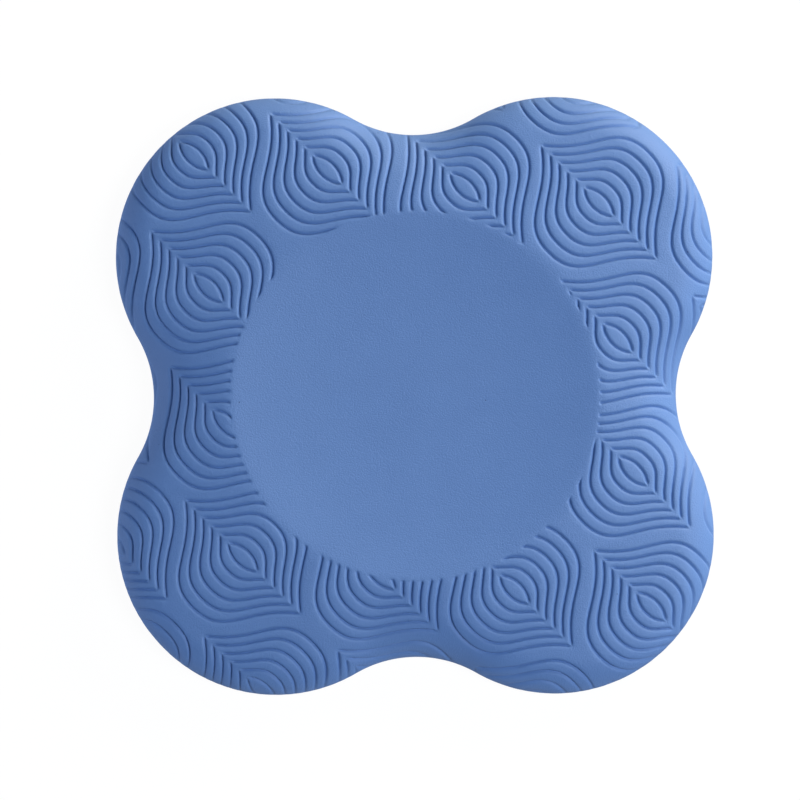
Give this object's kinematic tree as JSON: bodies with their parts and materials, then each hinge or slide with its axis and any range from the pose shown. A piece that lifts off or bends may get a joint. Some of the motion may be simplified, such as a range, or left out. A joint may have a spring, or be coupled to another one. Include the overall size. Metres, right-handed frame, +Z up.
{
  "type": "balance pad",
  "caption": "Soft moulded foam pad with four round lobes, a shallow round dish on top for a knee, elbow or hand, an engraved ring around it and a flat non-slip underside.",
  "frame": {"origin": "centre of the underside, on the floor", "axes": "+Z up through the middle of the dish; +X and +Y each run out through a waist between two lobes, so the lobes point along the diagonals"},
  "size_m": [0.2, 0.2, 0.02],
  "materials": {
    "upper_skin": "matt moulded polyurethane skin, fine leather-like grain",
    "foam": "soft closed-cell polyurethane foam",
    "grip_skin": "matt moulded polyurethane skin with a fine raised grip"
  },
  "bodies": {
    "root": {"top_skin": "upper_skin", "foam_core": "foam", "base_skin": "grip_skin"}
  },
  "joints": []
}
